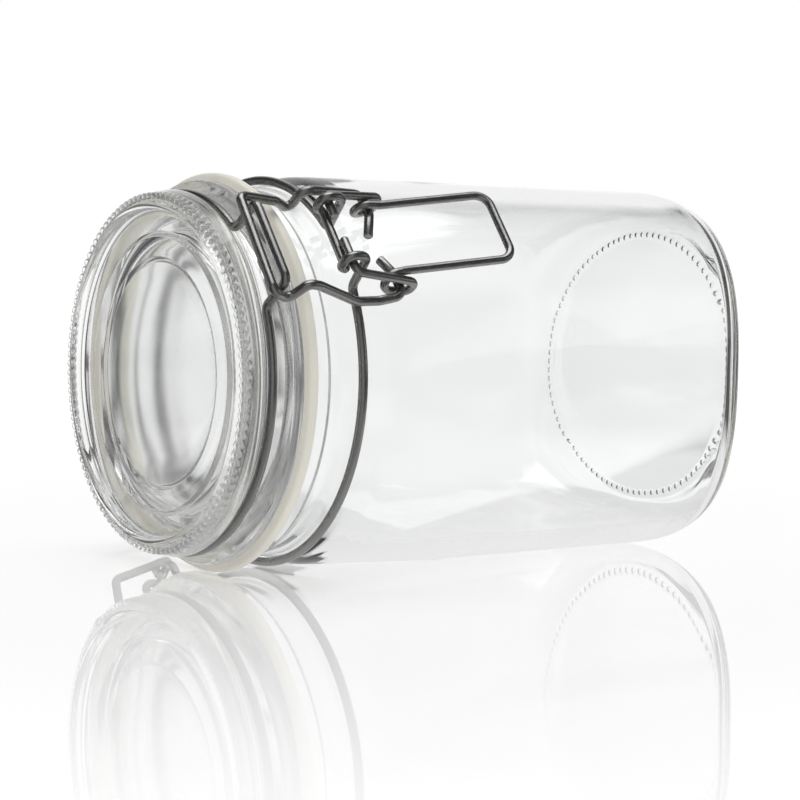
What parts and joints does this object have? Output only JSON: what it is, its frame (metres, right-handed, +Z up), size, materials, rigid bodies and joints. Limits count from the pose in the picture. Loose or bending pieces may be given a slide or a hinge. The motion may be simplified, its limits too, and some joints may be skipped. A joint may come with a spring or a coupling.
{
  "type": "clip top jar",
  "caption": "Empty glass storage jar with a hinged glass lid, rubber gasket and wire clip, lying on its side.",
  "frame": {"origin": "middle of the underside of the whole jar's box, on the table that it lies on", "axes": "+X along the jar from lid to base, +Y away from the side shown, +Z up; the clasp points up and towards -Y"},
  "size_m": [0.1532, 0.1056, 0.097],
  "materials": {
    "body_glass": "clear, smooth, faintly wavy inside",
    "lid_glass": "clear, smooth, beaded rim",
    "gasket_rubber": "matt, off-white",
    "wire_steel": "drawn round wire, dull grey shine"
  },
  "bodies": {
    "jar": {"glass_body": "body_glass", "neck_wire": "wire_steel"},
    "lid": {"glass_lid": "lid_glass", "gasket": "gasket_rubber", "lid_wire": "wire_steel"},
    "lever": {"lever_wire": "wire_steel"},
    "link": {"link_wire": "wire_steel"}
  },
  "joints": [
    {"name": "lid_hinge", "type": "hinge", "parent": "jar", "child": "lid", "pos_m": [-0.04595, 0.04711, 0.00963], "axis": [-0.0105, -0.6293, -0.7771], "range_deg": [0, 180]},
    {"name": "lever_hinge", "type": "hinge", "parent": "jar", "child": "lever", "pos_m": [-0.04916, -0.04343, 0.08299], "axis": [-0.0105, -0.6293, -0.7771], "range_deg": [0, 120]},
    {"name": "link_hinge", "type": "hinge", "parent": "lever", "child": "link", "pos_m": [-0.0358, -0.04024, 0.08023], "axis": [-0.0105, -0.6293, -0.7771], "range_deg": [-146, 0]}
  ],
  "couplings": [
    {"joint": "link_hinge", "follows": "lever_hinge", "ratio": -1.2}
  ]
}
